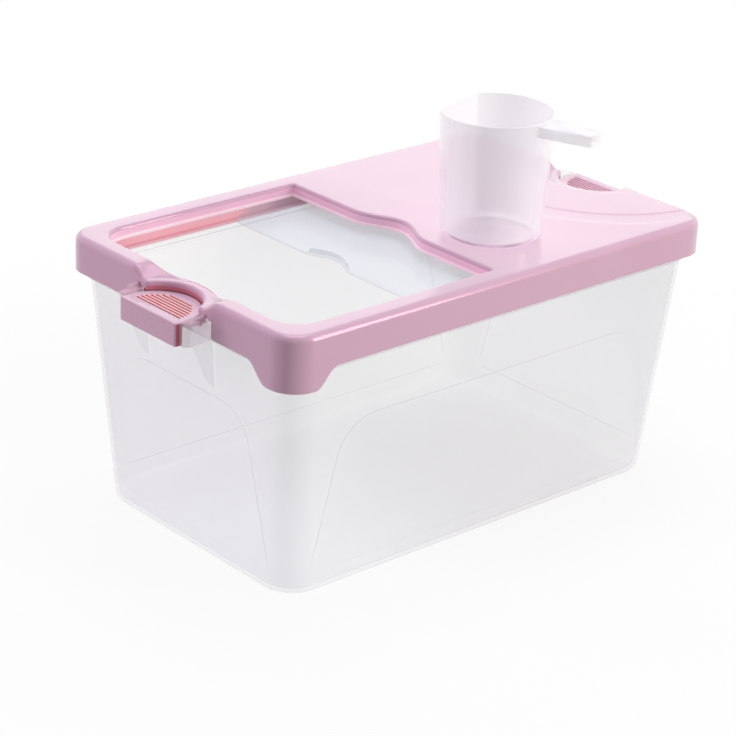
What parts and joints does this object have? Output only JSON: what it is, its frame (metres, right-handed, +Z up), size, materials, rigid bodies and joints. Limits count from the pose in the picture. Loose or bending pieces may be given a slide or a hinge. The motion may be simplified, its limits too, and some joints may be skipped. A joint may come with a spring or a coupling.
{
  "type": "rice bin",
  "caption": "Tapered translucent dry-food bin with a drop-on lid, a sliding window panel, slide latches on end lugs and a measuring cup on the deck.",
  "frame": {"origin": "centre of the base, on the surface the bin stands on", "axes": "+Z up; the length runs along Y with the window end at -Y; +X to the right when facing +Y"},
  "size_m": [0.2464, 0.4246, 0.2838],
  "materials": {
    "tub": "translucent natural polypropylene, satin",
    "lid": "opaque pink polypropylene, gloss",
    "panel": "translucent polypropylene, gloss",
    "latch": "opaque pink polypropylene, gloss",
    "cup": "translucent natural polypropylene, gloss"
  },
  "bodies": {
    "bin": {"bin_body": "tub"},
    "lid": {"lid_frame": "lid"},
    "panel": {"window_panel": "panel"},
    "latch_front": {"front_latch": "latch"},
    "latch_rear": {"rear_latch": "latch"},
    "cup": {"measuring_cup": "cup"}
  },
  "joints": [
    {"name": "lid_lift", "type": "slide", "parent": "bin", "child": "lid", "axis": [0, 0, 1], "range_m": [0, 0.1]},
    {"name": "panel_slide", "type": "slide", "parent": "lid", "child": "panel", "axis": [0, 1, 0], "range_m": [-0.1175, 0.038]},
    {"name": "front_latch_slide", "type": "slide", "parent": "bin", "child": "latch_front", "axis": [0, 1, 0], "range_m": [0, 0.0032]},
    {"name": "rear_latch_slide", "type": "slide", "parent": "bin", "child": "latch_rear", "axis": [0, -1, 0], "range_m": [0, 0.0032]},
    {"name": "cup_lift", "type": "slide", "parent": "lid", "child": "cup", "axis": [0, 0, 1], "range_m": [0, 0.1]}
  ]
}
